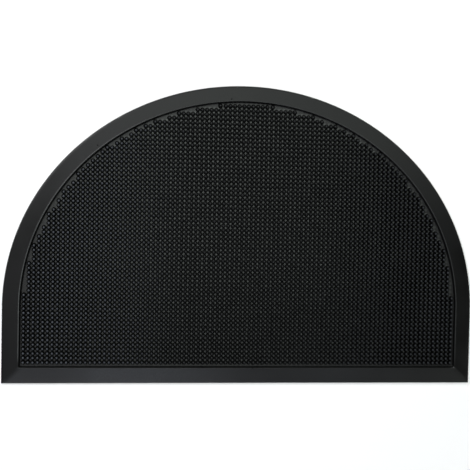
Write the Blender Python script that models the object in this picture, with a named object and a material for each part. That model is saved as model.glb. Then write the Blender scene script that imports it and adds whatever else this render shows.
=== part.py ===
"""Half-round rubber doormat: one moulded sheet of black rubber, flat underneath.

The mat is a single solid. Seen from above it is a half-round, with a straight front
edge, two short straight sides and a rounded back. A bevelled border rises from a thin
outer edge to a crest and drops to a recessed floor, and the middle of the mat is the
field that the moulded scraper pins fill, here raised to the height of the pin tips.

Metres, +Z up, +Y towards the rounded back. The origin is the centre of the outline's
bounding box, on the surface that the mat lies on.
"""
import math

import bmesh
import bpy

# Outline, measured at the foot of the outer edge
WIDTH = 0.600
STRAIGHT_SIDE = 0.095
ARC_RISE = 0.282
DEPTH = STRAIGHT_SIDE + ARC_RISE

# The border, from the outer edge to the middle of the step at its inner side
SIDE_BORDER = 0.0224
FRONT_BORDER = 0.0213
BACK_BORDER = 0.0205

# Heights above the surface that the mat lies on
EDGE_TOP = 0.0022
SHOULDER_HEIGHT = 0.0028
CREST_HEIGHT = 0.0064
FLOOR_HEIGHT = 0.0026
PIN_TIP_HEIGHT = 0.0070

# How far the section runs inward on the straight sides
EDGE_DRAFT = 0.0006
SHOULDER_WIDTH = 0.0014
CREST_WIDTH = 0.0022
CREST_ROUNDING = 0.0004
STEP_WIDTH = 0.0020
FLOOR_STRIP = 0.0012
PIN_SLOPE = 0.0018

ARC_SEGMENTS = 112
SHARP_ANGLE_DEG = 20
RUBBER_COLOUR = (0.028, 0.029, 0.030, 1.0)
RUBBER_ROUGHNESS = 0.55


def outline(inset):
    """Points of the half-round, anticlockwise from the front left corner.

    inset is the distance from the outer edge on the straight sides. The front and the
    back keep their own border widths, so they move in by their share of it.
    """
    share = inset / SIDE_BORDER
    half_width = WIDTH / 2 - inset
    front = -DEPTH / 2 + share * FRONT_BORDER
    back = DEPTH / 2 - share * BACK_BORDER
    spring = -DEPTH / 2 + STRAIGHT_SIDE
    points = [(-half_width, front), (half_width, front)]
    for step in range(ARC_SEGMENTS + 1):
        angle = math.pi * step / ARC_SEGMENTS
        points.append((half_width * math.cos(angle), spring + (back - spring) * math.sin(angle)))
    return points


def section():
    """The mat's cross-section as (inset, height) pairs, from the foot of the edge to the field."""
    step_middle = SIDE_BORDER
    step_top = step_middle - STEP_WIDTH / 2
    step_foot = step_middle + STEP_WIDTH / 2
    crest_start = step_top - CREST_WIDTH
    field_foot = step_foot + FLOOR_STRIP
    return [
        (0.0, 0.0),
        (EDGE_DRAFT, EDGE_TOP),
        (SHOULDER_WIDTH, SHOULDER_HEIGHT),
        (crest_start, CREST_HEIGHT - CREST_ROUNDING / 2),
        (crest_start + CREST_ROUNDING, CREST_HEIGHT),
        (step_top - CREST_ROUNDING, CREST_HEIGHT),
        (step_top, CREST_HEIGHT - CREST_ROUNDING),
        (step_foot, FLOOR_HEIGHT),
        (field_foot, FLOOR_HEIGHT),
        (field_foot + PIN_SLOPE, PIN_TIP_HEIGHT),
    ]


def add_ring(mesh, inset, height):
    """One closed loop of vertices at a place on the cross-section."""
    return [mesh.verts.new((x, y, height)) for x, y in outline(inset)]


def skin(mesh, lower, upper):
    """A band of faces between two loops, facing away from the inside of the mat."""
    next_lower = lower[1:] + lower[:1]
    next_upper = upper[1:] + upper[:1]
    for a, b, c, d in zip(lower, next_lower, next_upper, upper):
        mesh.faces.new((a, b, c, d))


def make_mat():
    """The whole mat: loops along the cross-section, skinned, and closed above and below."""
    mesh = bmesh.new()
    rings = [add_ring(mesh, inset, height) for inset, height in section()]
    for lower, upper in zip(rings, rings[1:]):
        skin(mesh, lower, upper)
    mesh.faces.new(rings[0][::-1])
    mesh.faces.new(rings[-1])
    data = bpy.data.meshes.new("mat")
    mesh.to_mesh(data)
    mesh.free()
    data.shade_smooth()
    data.set_sharp_from_angle(angle=math.radians(SHARP_ANGLE_DEG))
    mat = bpy.data.objects.new("mat", data)
    bpy.context.scene.collection.objects.link(mat)
    return mat


def make_rubber():
    """Matt black moulded rubber."""
    rubber = bpy.data.materials.new("rubber")
    rubber.use_nodes = True
    shader = rubber.node_tree.nodes["Principled BSDF"]
    shader.inputs["Base Color"].default_value = RUBBER_COLOUR
    shader.inputs["Roughness"].default_value = RUBBER_ROUGHNESS
    shader.inputs["Metallic"].default_value = 0.0
    return rubber


for old in list(bpy.data.objects):
    bpy.data.objects.remove(old, do_unlink=True)

mat_object = make_mat()
mat_object.data.materials.append(make_rubber())
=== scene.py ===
"""The looks of the half-round rubber doormat: the moulded sheet, its pins, and a studio."""
import math

import bpy
import numpy as np
from mathutils import Euler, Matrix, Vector


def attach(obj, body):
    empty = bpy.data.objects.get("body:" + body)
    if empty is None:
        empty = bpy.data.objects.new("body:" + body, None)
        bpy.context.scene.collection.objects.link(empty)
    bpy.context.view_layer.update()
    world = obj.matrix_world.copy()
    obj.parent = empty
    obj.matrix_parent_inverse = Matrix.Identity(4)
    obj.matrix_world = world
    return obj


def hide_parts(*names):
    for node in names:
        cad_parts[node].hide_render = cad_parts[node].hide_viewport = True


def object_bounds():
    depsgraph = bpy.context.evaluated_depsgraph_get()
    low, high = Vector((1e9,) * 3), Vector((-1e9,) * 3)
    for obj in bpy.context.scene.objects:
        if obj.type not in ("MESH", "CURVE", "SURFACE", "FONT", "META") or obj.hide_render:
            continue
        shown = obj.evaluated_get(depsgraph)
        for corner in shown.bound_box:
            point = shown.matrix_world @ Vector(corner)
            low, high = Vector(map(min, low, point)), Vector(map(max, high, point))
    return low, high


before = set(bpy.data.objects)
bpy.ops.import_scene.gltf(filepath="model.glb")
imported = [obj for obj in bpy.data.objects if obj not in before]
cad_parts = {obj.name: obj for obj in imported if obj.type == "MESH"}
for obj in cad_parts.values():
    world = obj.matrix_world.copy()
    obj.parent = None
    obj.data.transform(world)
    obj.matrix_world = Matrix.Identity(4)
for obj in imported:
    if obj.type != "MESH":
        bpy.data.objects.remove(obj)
cad_low, cad_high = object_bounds()

# The outline and the border, as in the solid
WIDTH = cad_high.x - cad_low.x
DEPTH = cad_high.y - cad_low.y
STRAIGHT_SIDE = 0.095
SIDE_BORDER = 0.0224
FRONT_BORDER = 0.0213
BACK_BORDER = 0.0205
ARC_FOOT = cad_low.y + STRAIGHT_SIDE
FRONT_CREST = cad_low.y + FRONT_BORDER

# Heights above the surface that the mat lies on
PIN_TIP_HEIGHT = cad_high.z
CREST_HEIGHT = 0.0064
FLOOR_HEIGHT = 0.0026

# How finely the outline is cut
FRONT_STEPS = 80
SIDE_STEPS = 20
ARC_STEPS = 240

# The border's cross-section: (inset, height) from the foot of the outer edge to the floor
BORDER_CORNERS = (
    (0.0000, 0.0000),
    (0.0001, 0.0006),
    (0.0009, 0.0022),
    (0.0022, 0.0030),
    (0.0200, 0.0061),
    (0.0206, CREST_HEIGHT),
    (0.0213, CREST_HEIGHT),
    (0.0219, CREST_HEIGHT - 0.0007),
    (0.0230, FLOOR_HEIGHT + 0.0003),
    (0.0236, FLOOR_HEIGHT),
    (0.0250, FLOOR_HEIGHT),
)

# Its corners are rounded by this much, but by no more than a share of the sides they join
CORNER_RADIUS = 0.0003
CORNER_STEPS = 3
CORNER_SHARE = 0.45

# The underside and the floor are rings round a middle a little in front of the centre
FILL_RINGS = 8
FILL_MIDDLE = -DEPTH * 0.08

# Small pips that the mould's vents leave on the border: (x, y, height of the slope, radius)
PIPS = (
    (-0.0194, 0.1713, 0.0058, 0.0009),
    (-0.1852, 0.1091, 0.0055, 0.0008),
    (0.0139, -0.1690, 0.0062, 0.0010),
)

# A pip's cross-section: (share of its radius, height above the slope)
PIP_SECTION = ((1.0, -0.0003), (0.97, 0.0001), (0.86, 0.0003), (0.60, 0.00045), (0.25, 0.0005))
PIP_SIDES = 20

# The sheet's material slots: the border has the first, and these have the others
FIELD_SLOT = 1
PIP_SLOT = 2
FLAT_WITHIN = 0.00001

# The pins: 59 rows, and columns on both sides of the mat's centre line
PIN_PITCH_X = 0.00587
PIN_PITCH_Y = 0.005585
PIN_ROWS = 59
PIN_COLUMNS_A_SIDE = 47
FRONT_ROW_INSET = 0.0269
FRONT_ROW = cad_low.y + FRONT_ROW_INSET

# The rounded back of the field, with its start measured from the front row
PIN_ARC_HALF_WIDTH = 0.2738
PIN_ARC_RISE = 0.2600
PIN_ARC_START = 0.0660

# Some rows have a pin more at each end, and the last row's end pins stand farther out
FULLER_ROWS = (26, 48)
END_PIN_SHIFT = 0.0009

# One pin: (radius, height) from its foot on the floor to its domed tip
PIN_SECTION = (
    (0.00325, FLOOR_HEIGHT - 0.0001),
    (0.00300, FLOOR_HEIGHT + 0.0001),
    (0.00268, FLOOR_HEIGHT + 0.0006),
    (0.00230, FLOOR_HEIGHT + 0.0013),
    (0.00192, FLOOR_HEIGHT + 0.0023),
    (0.00165, PIN_TIP_HEIGHT - 0.0012),
    (0.00135, PIN_TIP_HEIGHT - 0.0005),
    (0.00085, PIN_TIP_HEIGHT - 0.0001),
    (0.00030, PIN_TIP_HEIGHT),
)
PIN_SIDES = 12

# How many of a pin's rings of faces are its worn tip
TIP_RINGS = 3

# The pins are shared out over a few meshes, and no two of them are quite alike
PIN_GROUPS = 5
PIN_SEED = 11
PIN_SIZE_SPREAD = 0.03
PIN_SHORTEST = 0.985
PIN_LEAN = 0.00007


def edges(inset):
    """(half width, front, back) of the half-round, moved in from the outer edge.

    inset is measured on the straight sides. The front and the back keep border widths of
    their own, so they move in by their share of it.
    """
    share = inset / SIDE_BORDER
    return WIDTH / 2 - inset, cad_low.y + share * FRONT_BORDER, cad_high.y - share * BACK_BORDER


def outline(inset):
    """Points of the half-round, anticlockwise from the front left corner."""
    half_width, front, back = edges(inset)
    across = np.linspace(-half_width, half_width, FRONT_STEPS, endpoint=False)
    up = np.linspace(front, ARC_FOOT, SIDE_STEPS, endpoint=False)
    angle = np.linspace(0, math.pi, ARC_STEPS)
    arc = [half_width * np.cos(angle), ARC_FOOT + (back - ARC_FOOT) * np.sin(angle)]
    return np.concatenate([
        np.stack([across, np.full(FRONT_STEPS, front)], axis=1),
        np.stack([np.full(SIDE_STEPS, half_width), up], axis=1),
        np.stack(arc, axis=1),
        np.stack([np.full(SIDE_STEPS, -half_width), up[::-1]], axis=1)[:-1],
    ])


def rounded(points):
    """A cross-section with each inner corner replaced by a short arc."""
    made = [points[0]]
    for before, corner, after in zip(points, points[1:], points[2:]):
        corner = Vector(corner)
        back, on = Vector(before) - corner, Vector(after) - corner
        reach = min(CORNER_RADIUS, back.length * CORNER_SHARE, on.length * CORNER_SHARE)
        start = corner + back.normalized() * reach
        end = corner + on.normalized() * reach
        for step in range(CORNER_STEPS + 1):
            t = step / CORNER_STEPS
            made.append(tuple(start * (1 - t) ** 2 + corner * 2 * t * (1 - t) + end * t ** 2))
    made.append(points[-1])
    return made


def mesh_object(name, vertices, faces, material):
    """A smooth-shaded object of that mesh, in the scene."""
    mesh = bpy.data.meshes.new(name)
    mesh.from_pydata(vertices, [], faces)
    mesh.update()
    mesh.shade_smooth()
    mesh.materials.append(material)
    piece = bpy.data.objects.new(name, mesh)
    bpy.context.scene.collection.objects.link(piece)
    return piece


def circle(sides):
    """Corners of a circle with a radius of 1."""
    angle = np.arange(sides) * 2 * math.pi / sides
    return np.stack([np.cos(angle), np.sin(angle)], axis=1)


def at_height(points, height):
    """(x, y) points as (x, y, z) at that height."""
    return np.column_stack([points, np.full(len(points), height)])


def bands(rings, sides):
    """Quads that join each ring of corners to the next."""
    faces = []
    for here in range(0, (rings - 1) * sides, sides):
        there = here + sides
        for i in range(sides):
            j = (i + 1) % sides
            faces.append((here + i, here + j, there + j, there + i))
    return faces


def closed(rings):
    """Vertices and faces of rings of (x, y, z) points, with a fan at each end."""
    sides = len(rings[0])
    vertices = [tuple(point) for ring in rings for point in ring]
    faces = bands(len(rings), sides)
    last = len(vertices) - sides
    bottom = len(vertices)
    top = bottom + 1
    vertices.append(tuple(np.mean(rings[0], axis=0)))
    vertices.append(tuple(np.mean(rings[-1], axis=0)))
    for i in range(sides):
        j = (i + 1) % sides
        faces.append((j, i, bottom))
        faces.append((last + i, last + j, top))
    return vertices, faces


def make_sheet(material, field_material, pip_material):
    """The sheet without the pins: underside, border, step and floor, and the vents' pips."""
    section = rounded(BORDER_CORNERS)
    outer = outline(0.0)
    inner = outline(section[-1][0])
    middle = np.array([0.0, FILL_MIDDLE])
    rings = []
    for share in np.linspace(1 / FILL_RINGS, 1, FILL_RINGS, endpoint=False):
        rings.append(at_height(middle + (outer - middle) * share, 0.0))
    for inset, height in section:
        rings.append(at_height(outline(inset), height))
    for share in np.linspace(1, 1 / FILL_RINGS, FILL_RINGS)[1:]:
        rings.append(at_height(middle + (inner - middle) * share, FLOOR_HEIGHT))
    vertices, faces = closed(rings)
    pips_from = len(faces)
    for x, y, slope, radius in PIPS:
        pip = circle(PIP_SIDES) * radius
        pip_vertices, pip_faces = closed([
            at_height((x, y) + pip * share, slope + height) for share, height in PIP_SECTION
        ])
        first = len(vertices)
        vertices += pip_vertices
        faces += [tuple(first + corner for corner in face) for face in pip_faces]
    sheet = mesh_object("sheet", vertices, faces, material)
    sheet.data.materials.append(field_material)
    sheet.data.materials.append(pip_material)
    for face in sheet.data.polygons:
        heights = [sheet.data.vertices[corner].co.z for corner in face.vertices]
        if face.index >= pips_from:
            face.material_index = PIP_SLOT
        elif all(abs(height - FLOOR_HEIGHT) < FLAT_WITHIN for height in heights):
            face.material_index = FIELD_SLOT
    return sheet


def pin_places():
    """Centres of all the pins: a grid, cut off along the rounded back."""
    places = []
    for row in range(PIN_ROWS):
        y = FRONT_ROW + row * PIN_PITCH_Y
        rise = max(y - FRONT_ROW - PIN_ARC_START, 0) / PIN_ARC_RISE
        columns = []
        for column in range(-PIN_COLUMNS_A_SIDE, PIN_COLUMNS_A_SIDE):
            x = (column + 0.5) * PIN_PITCH_X
            if (x / PIN_ARC_HALF_WIDTH) ** 2 + rise ** 2 <= 1:
                columns.append(x)
        if row in FULLER_ROWS:
            columns = [columns[0] - PIN_PITCH_X, *columns, columns[-1] + PIN_PITCH_X]
        if row == PIN_ROWS - 1:
            columns[0] -= END_PIN_SHIFT
            columns[-1] += END_PIN_SHIFT
        places += [(x, y) for x in columns]
    return np.array(places)


def make_pins(places, name, material, tip_material, draw):
    """One mesh of many pins, each a little different in girth, height and lean."""
    ring = circle(PIN_SIDES)
    shape = np.concatenate([at_height(ring * radius, height) for radius, height in PIN_SECTION])
    tip = len(shape)
    last = tip - PIN_SIDES
    shape = np.vstack([shape, [0, 0, PIN_TIP_HEIGHT]])
    faces = bands(len(PIN_SECTION), PIN_SIDES)
    faces += [(last + i, last + (i + 1) % PIN_SIDES, tip) for i in range(PIN_SIDES)]

    count = len(places)
    vertices = np.repeat(shape[None, :, :], count, axis=0)
    vertices[:, :, :2] *= draw.uniform(1 - PIN_SIZE_SPREAD, 1 + PIN_SIZE_SPREAD, (count, 1, 1))
    risen = vertices[:, :, 2] - FLOOR_HEIGHT
    vertices[:, :, 2] = FLOOR_HEIGHT + risen * draw.uniform(PIN_SHORTEST, 1, (count, 1))
    lean = draw.normal(0, PIN_LEAN, (count, 2)).clip(-2 * PIN_LEAN, 2 * PIN_LEAN)
    share = np.clip(risen / (PIN_TIP_HEIGHT - FLOOR_HEIGHT), 0, 1)
    vertices[:, :, :2] += places[:, None, :] + lean[:, None, :] * share[:, :, None]

    starts = range(0, count * len(shape), len(shape))
    all_faces = [tuple(start + corner for corner in face) for start in starts for face in faces]
    pins = mesh_object(name, vertices.reshape(-1, 3).tolist(), all_faces, material)
    pins.data.materials.append(tip_material)
    flank_faces = (len(PIN_SECTION) - TIP_RINGS) * PIN_SIDES
    on_tip = np.tile(np.arange(len(faces)) >= flank_faces, count)
    pins.data.polygons.foreach_set("material_index", on_tip.astype(np.int32))
    return pins


# The rubber's colours: its own black, its bloom, and the painted highlights and painted light
# on it
RUBBER_DARK = (0.0004, 0.0004, 0.0004, 1)
RUBBER_BLOOM = (0.0012, 0.0012, 0.0013, 1)
TIP_HIGHLIGHT_COLOUR = (0.050, 0.0535, 0.063, 1)
CREST_HIGHLIGHT_COLOUR = (0.100, 0.103, 0.102, 1)
FIELD_LIGHT_COLOUR = (0.070, 0.074, 0.070, 1)
EDGE_LIGHT_COLOUR = (0.060, 0.064, 0.072, 1)

# How much painted highlight and painted light there is along the mat, as (x, share) pairs
BORDER_HIGHLIGHT = (
    (-0.29, 0.85), (-0.25, 0.55), (-0.19, 0.15), (0.00, 0.22), (0.20, 0.22), (0.30, 0.30),
)
TIP_HIGHLIGHT = (
    (-0.25, 0.90), (-0.16, 0.60), (-0.11, 0.25), (-0.07, 0.06), (0.10, 0.08), (0.25, 0.38),
)
FIELD_LIGHT = (
    (-0.275, 0.00), (-0.25, 0.30), (-0.20, 0.50), (-0.12, 0.68), (0.03, 0.74),
    (0.08, 0.90), (0.13, 1.00), (0.18, 0.90), (0.22, 0.70),
)
EDGE_LIGHT = (
    (-0.24, 0.0), (-0.205, 0.06), (-0.18, 0.20), (-0.11, 0.19), (-0.04, 0.09),
    (0.0, 0.02), (0.065, 0.015), (0.11, 0.065), (0.24, 0.0),
)
FLANK_LIGHT = ((-0.25, 0.04), (-0.12, 0.11), (0.08, 0.09), (0.20, 0.01))

# The painted highlight sets in between these heights, and on the border only behind these two
# places in y
HIGHLIGHT_HEIGHTS = (0.0061, 0.0065)
HIGHLIGHT_BEHIND = (-0.165, -0.150)

# The field's painted light thins out toward the front, between two places in y
FRONT_LIGHT_SHARE = 0.68
FRONT_LIGHT_REACH = (-0.15, -0.03)

# It thins out toward the border too, over a strip from this inset on
CHANNEL_INSET = 0.0236
CHANNEL_LIGHT = 0.10
CLEAR_OF_CHANNEL = 0.0070

# It is painted as a bright spot in each gap: in its middle, and past it toward the right end of
# the mat
SPOT_RADIUS = 0.0010
SPOT_FOOT = 0.0024
BESIDE_SPOTS = 0.20
SPOT_SHIFT = 0.0019
SPOT_SHIFT_REACH = (-0.10, 0.22)

# The front border's painted light ends between these distances in front of its crest
EDGE_LIGHT_END = (0.002, 0.001)

# The noises in the rubber: its bloom, the patches of its painted highlights, the specks of its
# painted light and the grain
BLOOM = {"Scale": 16.0, "Detail": 6.0, "Roughness": 0.6}
PATCHES = {"Scale": 60.0, "Detail": 3.0}
SPECKS = {"Scale": 500.0, "Detail": 3.0}
GRAIN = {"Scale": 1600.0, "Detail": 3.0}

# What the noises change: a range of the noise, and what it becomes
BLOOM_RANGE = (0.35, 0.70)
ROUGHNESS_RANGE = (0.3, 0.7, 0.35, 0.45)
PATCHES_RANGE = (0.3, 0.7, 0.8, 1.1)
SPECKS_RANGE = (0.2, 0.8, 0.4, 1.6)
GRAIN_BUMP = {"Strength": 0.12, "Distance": 0.0001}

# A Mix node has a pair of inputs and a result for each kind of value; these are the colours'
MIX_FIRST = 6
MIX_SECOND = 7
MIX_RESULT = 2


def node(tree, kind, settings):
    """A new node of that kind with the given input values."""
    made = tree.nodes.new(kind)
    for name, value in settings.items():
        made.inputs[name].default_value = value
    return made


def noise(tree, place, settings):
    """A noise in the mat's own space."""
    made = node(tree, "ShaderNodeTexNoise", settings)
    tree.links.new(place, made.inputs["Vector"])
    return made.outputs["Fac"]


def ranged(tree, source, low, high, to_low, to_high):
    """A value carried from one range to another, and held at its ends."""
    ends = {"From Min": low, "From Max": high, "To Min": to_low, "To Max": to_high}
    made = node(tree, "ShaderNodeMapRange", ends)
    tree.links.new(source, made.inputs["Value"])
    return made.outputs["Result"]


def maths(tree, kind, operation, *sources):
    """The outputs of a math node; each source is another node's output or a plain vector."""
    made = tree.nodes.new(kind)
    made.operation = operation
    for source, socket in zip(sources, made.inputs):
        if isinstance(source, tuple):
            socket.default_value = source
        else:
            tree.links.new(source, socket)
    return made.outputs


def product(tree, first, second):
    """Two values multiplied."""
    return maths(tree, "ShaderNodeMath", "MULTIPLY", first, second)["Value"]


def joined(tree, x, y):
    """A vector of two values, with no height."""
    made = tree.nodes.new("ShaderNodeCombineXYZ")
    tree.links.new(x, made.inputs["X"])
    tree.links.new(y, made.inputs["Y"])
    return made.outputs["Vector"]


def mixed(tree, share, first, second):
    """Two colours mixed by a share; the second is a plain colour."""
    made = tree.nodes.new("ShaderNodeMix")
    made.data_type = "RGBA"
    tree.links.new(share, made.inputs["Factor"])
    tree.links.new(first, made.inputs[MIX_FIRST])
    made.inputs[MIX_SECOND].default_value = second
    return made.outputs[MIX_RESULT]


def along(tree, axes, shares):
    """A value that changes along the mat, from (x, share) pairs in order."""
    ramp = tree.nodes.new("ShaderNodeValToRGB")
    elements = ramp.color_ramp.elements
    while len(elements) < len(shares):
        elements.new(0.5)
    for element, (x, share) in zip(elements, shares):
        element.position = (x - cad_low.x) / WIDTH
        element.color = (share, share, share, 1)
    lengthwise = ranged(tree, axes["X"], cad_low.x, cad_high.x, 0.0, 1.0)
    tree.links.new(lengthwise, ramp.inputs["Fac"])
    return ramp.outputs["Color"]


def in_the_field(tree, axes):
    """How much painted light lies at a place in the field: less near the border and in front.
    """
    half_width, front, back = edges(CHANNEL_INSET)
    sideways = maths(tree, "ShaderNodeMath", "ABSOLUTE", axes["X"])["Value"]
    out = ranged(tree, sideways, 0.0, half_width, 0.0, 1.0)
    rise = ranged(tree, axes["Y"], ARC_FOOT, back, 0.0, 1.0)
    reach = maths(tree, "ShaderNodeVectorMath", "LENGTH", joined(tree, out, rise))["Value"]
    clear = 1 - CLEAR_OF_CHANNEL / half_width
    round_rim = ranged(tree, reach, clear, 1.0, 1.0, CHANNEL_LIGHT)
    front_rim = ranged(tree, axes["Y"], front, front + CLEAR_OF_CHANNEL, CHANNEL_LIGHT, 1.0)
    backward = ranged(tree, axes["Y"], *FRONT_LIGHT_REACH, FRONT_LIGHT_SHARE, 1.0)
    return product(tree, product(tree, round_rim, front_rim), backward)


def in_the_gaps(tree, axes):
    """The field's painted light, gathered in a spot in each gap between four pins."""
    shift = tree.nodes.new("ShaderNodeCombineXYZ")
    sideways = ranged(tree, axes["X"], *SPOT_SHIFT_REACH, 0.0, SPOT_SHIFT)
    tree.links.new(sideways, shift.inputs["X"])
    shift.inputs["Y"].default_value = FRONT_ROW + PIN_PITCH_Y / 2
    here = joined(tree, axes["X"], axes["Y"])
    moved = maths(tree, "ShaderNodeVectorMath", "SUBTRACT", here, shift.outputs["Vector"])
    high = (PIN_PITCH_X / 2, PIN_PITCH_Y / 2, 1)
    low = (-PIN_PITCH_X / 2, -PIN_PITCH_Y / 2, -1)
    cell = maths(tree, "ShaderNodeVectorMath", "WRAP", moved["Vector"], high, low)
    away = maths(tree, "ShaderNodeVectorMath", "LENGTH", cell["Vector"])
    spots = ranged(tree, away["Value"], SPOT_RADIUS, SPOT_FOOT, 1.0, BESIDE_SPOTS)
    return product(tree, in_the_field(tree, axes), spots)


def on_front_border(tree, axes):
    """The painted light of the border, which lies only on its front."""
    full, none = (FRONT_CREST - distance for distance in EDGE_LIGHT_END)
    return ranged(tree, axes["Y"], full, none, 1.0, 0.0)


def paint_highlight(tree, place, axes, paler, highlights, colour, highlight_in_front):
    """The rubber's colour with a painted highlight on its high points, in uneven patches."""
    raised = ranged(tree, axes["Z"], *HIGHLIGHT_HEIGHTS, 0.0, 1.0)
    uneven = ranged(tree, noise(tree, place, PATCHES), *PATCHES_RANGE)
    share = product(tree, along(tree, axes, highlights), uneven)
    if not highlight_in_front:
        raised = product(tree, raised, ranged(tree, axes["Y"], *HIGHLIGHT_BEHIND, 0.0, 1.0))
    return mixed(tree, product(tree, raised, share), paler, colour)


def paint_light(tree, place, axes, paler, painted_light, colour, where):
    """The rubber's colour under painted light, in specks."""
    speckled = ranged(tree, noise(tree, place, SPECKS), *SPECKS_RANGE)
    share = product(tree, along(tree, axes, painted_light), speckled)
    return mixed(tree, product(tree, share, where(tree, axes)), paler, colour)


def make_rubber(name, specular, highlights=None, highlight_colour=TIP_HIGHLIGHT_COLOUR, highlight_in_front=True,
                painted_light=None, light_colour=FIELD_LIGHT_COLOUR, where=in_the_field):
    """Black moulded rubber with a faint bloom and a fine grain.

    highlights and painted_light say how much painted highlight its high points get and
    how much painted light lies on it, as (x, share) pairs along the mat.
    highlight_in_front is off where the front border gets no painted highlight, and where
    says which part of the mat has the painted light.
    """
    rubber = bpy.data.materials.new(name)
    rubber.use_nodes = True
    tree = rubber.node_tree
    shader = tree.nodes["Principled BSDF"]
    place = tree.nodes.new("ShaderNodeTexCoord").outputs["Object"]
    split = tree.nodes.new("ShaderNodeSeparateXYZ")
    tree.links.new(place, split.inputs["Vector"])
    axes = split.outputs

    bloom = noise(tree, place, BLOOM)
    colour = tree.nodes.new("ShaderNodeValToRGB")
    ends = zip(colour.color_ramp.elements, BLOOM_RANGE, (RUBBER_DARK, RUBBER_BLOOM))
    for element, position, shade in ends:
        element.position = position
        element.color = shade
    tree.links.new(bloom, colour.inputs["Fac"])

    paler = colour.outputs["Color"]
    if highlights:
        paler = paint_highlight(tree, place, axes, paler, highlights, highlight_colour, highlight_in_front)
    if painted_light:
        paler = paint_light(tree, place, axes, paler, painted_light, light_colour, where)
    tree.links.new(paler, shader.inputs["Base Color"])

    tree.links.new(ranged(tree, bloom, *ROUGHNESS_RANGE), shader.inputs["Roughness"])
    shader.inputs["Specular IOR Level"].default_value = specular

    bump = node(tree, "ShaderNodeBump", GRAIN_BUMP)
    tree.links.new(noise(tree, place, GRAIN), bump.inputs["Height"])
    tree.links.new(bump.outputs["Normal"], shader.inputs["Normal"])
    return rubber


# The camera looks straight down, a little from the left
CAMERA_PLACE = (-0.148, 0.038, 1.2)
CAMERA_TILT_DEG = (-1.92, -6.465, 1.12)
CAMERA_LENS = 72.94
SENSOR_WIDTH = 36.0

# The room's floor is just under the mat, and warm enough to look white in the soft boxes' light
ROOM_FLOOR_HEIGHT = -0.0002
ROOM_FLOOR_REACH = 12.0
ROOM_FLOOR_COLOUR = (0.995, 0.970, 0.965, 1)
ROOM_FLOOR_ROUGHNESS = 0.9

WORLD_COLOUR = (1, 1, 1, 1)
WORLD_STRENGTH = 0.04

# The soft boxes' colours, after the slight casts in the photo's black
FRONT_TINT = (0.96, 1.0, 1.09)
ROOM_TINT = (0.93, 1.0, 0.96)
LEFT_TINT = (0.99, 1.0, 1.03)

# The soft boxes: name, place, where it faces, size, power in watts, colour
SOFT_BOXES = (
    ("overhead", (-0.1, 1.5, 1.6), (0, 0, -1), (0.8, 3.0), 14.8, ROOM_TINT),
    ("front", (-0.75, -2.2, 1.6), (0, 0, -1), (2.1, 1.6), 41.0, FRONT_TINT),
    ("front_right", (1.305, -1.305, 1.2), (-1.305, 1.305, -1.2), (1.2, 0.8), 5.5, ROOM_TINT),
    ("back_left", (-1.305, 1.305, 1.2), (1.305, -1.305, -1.2), (1.2, 0.8), 31.8, LEFT_TINT),
    ("back_right", (1.65, 1.8, 1.6), (0, 0, -1), (2.7, 2.4), 29.7, ROOM_TINT),
    ("middle", (0.1, 0.3, 1.6), (0, 0, -1), (0.4, 0.6), 3.5, ROOM_TINT),
    ("left", (-0.75, -0.3, 1.6), (0, 0, -1), (2.1, 0.6), 2.8, LEFT_TINT),
)


def make_camera():
    """The camera that takes the photo's view."""
    data = bpy.data.cameras.new("camera")
    data.lens = CAMERA_LENS
    data.sensor_width = SENSOR_WIDTH
    camera = bpy.data.objects.new("camera", data)
    camera.location = CAMERA_PLACE
    camera.rotation_euler = Euler([math.radians(a) for a in CAMERA_TILT_DEG], "XYZ")
    bpy.context.scene.collection.objects.link(camera)
    bpy.context.scene.camera = camera


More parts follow.
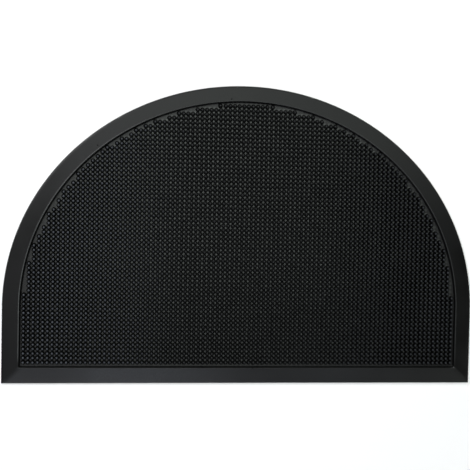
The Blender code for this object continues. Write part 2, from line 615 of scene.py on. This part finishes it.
def make_floor():
    """A plain pale floor."""
    material = bpy.data.materials.new("pale_floor")
    material.use_nodes = True
    shader = material.node_tree.nodes["Principled BSDF"]
    shader.inputs["Base Color"].default_value = ROOM_FLOOR_COLOUR
    shader.inputs["Roughness"].default_value = ROOM_FLOOR_ROUGHNESS
    shader.inputs["Specular IOR Level"].default_value = 0.0
    mesh = bpy.data.meshes.new("floor")
    reach = ROOM_FLOOR_REACH
    corners = [(-reach, -reach, 0), (reach, -reach, 0), (reach, reach, 0), (-reach, reach, 0)]
    mesh.from_pydata(corners, [], [(0, 1, 2, 3)])
    mesh.materials.append(material)
    floor = bpy.data.objects.new("floor", mesh)
    floor.location.z = ROOM_FLOOR_HEIGHT
    bpy.context.scene.collection.objects.link(floor)


def make_light(name, place, facing, size, power, colour):
    """A soft box that the camera itself doesn't see."""
    data = bpy.data.lights.new(name, "AREA")
    data.shape = "RECTANGLE"
    data.size, data.size_y = size
    data.energy = power
    data.color = colour
    light = bpy.data.objects.new(name, data)
    light.location = place
    light.rotation_euler = Vector(facing).to_track_quat("-Z", "Y").to_euler()
    light.visible_camera = False
    bpy.context.scene.collection.objects.link(light)


def make_studio():
    """The room: its floor, its faint even light and the soft boxes."""
    make_floor()
    world = bpy.data.worlds.new("studio")
    bpy.context.scene.world = world
    world.use_nodes = True
    background = world.node_tree.nodes["Background"]
    background.inputs["Color"].default_value = WORLD_COLOUR
    background.inputs["Strength"].default_value = WORLD_STRENGTH
    for box in SOFT_BOXES:
        make_light(*box)
    bpy.context.scene.view_settings.view_transform = "Standard"


# The border's crest carries a painted highlight, strongest at the left end
border_rubber = make_rubber(
    "rubber_border", specular=0.33,
    highlights=BORDER_HIGHLIGHT, highlight_colour=CREST_HIGHLIGHT_COLOUR, highlight_in_front=False,
    # The front of the border carries a painted light
    painted_light=EDGE_LIGHT, light_colour=EDGE_LIGHT_COLOUR, where=on_front_border,
)
# The field carries a painted light, as a bright spot in each gap
field_rubber = make_rubber("rubber_field", specular=0.47, painted_light=FIELD_LIGHT, where=in_the_gaps)
# The pins' flanks carry a painted light that lifts their shade
pin_rubber = make_rubber("rubber_pins", specular=0.12, painted_light=FLANK_LIGHT)
# The tips carry a painted highlight, palest at the left end
tip_rubber = make_rubber("rubber_tips", specular=0.28, highlights=TIP_HIGHLIGHT)

sheet = make_sheet(border_rubber, field_rubber, pin_rubber)
draw = np.random.default_rng(PIN_SEED)
pins = []
for group, part in enumerate(np.array_split(pin_places(), PIN_GROUPS), start=1):
    pins.append(make_pins(part, f"pins_{group}", pin_rubber, tip_rubber, draw))
for piece in [sheet, *pins]:
    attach(piece, "root")
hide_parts("mat")

make_camera()
make_studio()
